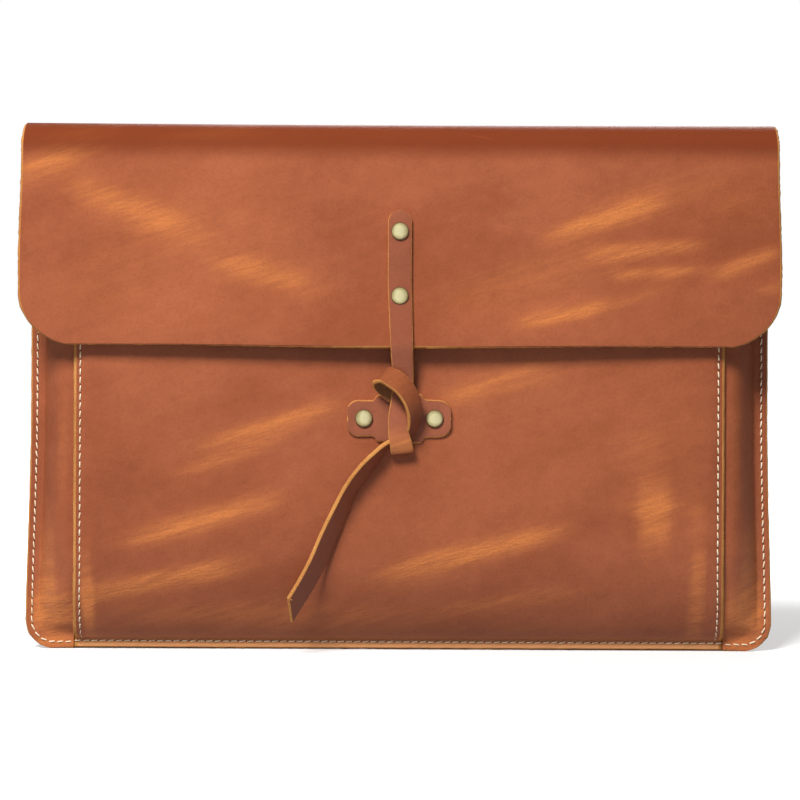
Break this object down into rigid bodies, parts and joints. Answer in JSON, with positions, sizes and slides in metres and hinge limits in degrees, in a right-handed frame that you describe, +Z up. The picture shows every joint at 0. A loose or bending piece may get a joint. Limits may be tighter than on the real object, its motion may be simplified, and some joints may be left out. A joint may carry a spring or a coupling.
{
  "type": "laptop sleeve",
  "caption": "Gusseted leather laptop sleeve with a rolled-over front flap and a riveted strap tied round a keeper tab.",
  "frame": {"origin": "middle of the bottom edge, on the surface the sleeve stands on", "axes": "+X along the width, to the right seen from the front; -Y towards the front, where the flap closes; +Z up to the rolled fold"},
  "size_m": [0.3378, 0.0374, 0.236],
  "materials": {
    "cognac_leather": "waxed pull-up leather, satin, raw cut edges",
    "strap_leather": "waxed pull-up leather, satin, raw cut edges",
    "cream_thread": "waxed polyester thread",
    "antique_brass": "antique brass plate, lightly brushed"
  },
  "bodies": {
    "pocket": {"back_panel": "cognac_leather", "gusset_left": "cognac_leather", "gusset_right": "cognac_leather", "side_thread_left": "cream_thread", "side_thread_right": "cream_thread"},
    "front": {"front_panel": "cognac_leather", "bottom_thread": "cream_thread", "front_thread_left": "cream_thread", "front_thread_right": "cream_thread", "keeper_tab": "strap_leather", "keeper_rivet_cap_left": "antique_brass", "keeper_rivet_base_left": "antique_brass", "keeper_rivet_cap_right": "antique_brass", "keeper_rivet_base_right": "antique_brass"},
    "fold": {"flap_fold": "cognac_leather"},
    "flap": {"flap_panel": "cognac_leather", "strap_upper": "strap_leather", "flap_rivet_cap_upper": "antique_brass", "flap_rivet_base_upper": "antique_brass", "flap_rivet_cap_lower": "antique_brass", "flap_rivet_base_lower": "antique_brass"},
    "strap": {"strap_tie": "strap_leather"}
  },
  "joints": [
    {"name": "flap_open", "type": "hinge", "parent": "pocket", "child": "fold", "pos_m": [0, 0.01512, 0.23241], "axis": [-1, 0, 0], "range_deg": [0, 90], "deforming": ["flap_fold"]},
    {"name": "flap_uncurl", "type": "hinge", "parent": "fold", "child": "flap", "pos_m": [0, -0.00453, 0.23241], "axis": [-1, 0, 0], "range_deg": [0, 90]},
    {"name": "strap_swing", "type": "hinge", "parent": "flap", "child": "strap", "pos_m": [0, -0.01, 0.15], "axis": [-1, 0, 0], "range_deg": [0, 80]},
    {"name": "pocket_flatten", "type": "hinge", "parent": "pocket", "child": "front", "pos_m": [0, 0.016, 0.005], "axis": [-1, 0, 0], "range_deg": [0, 4.5], "deforming": ["gusset_left", "gusset_right"]}
  ],
  "couplings": [
    {"joint": "flap_uncurl", "follows": "flap_open", "ratio": 1}
  ]
}
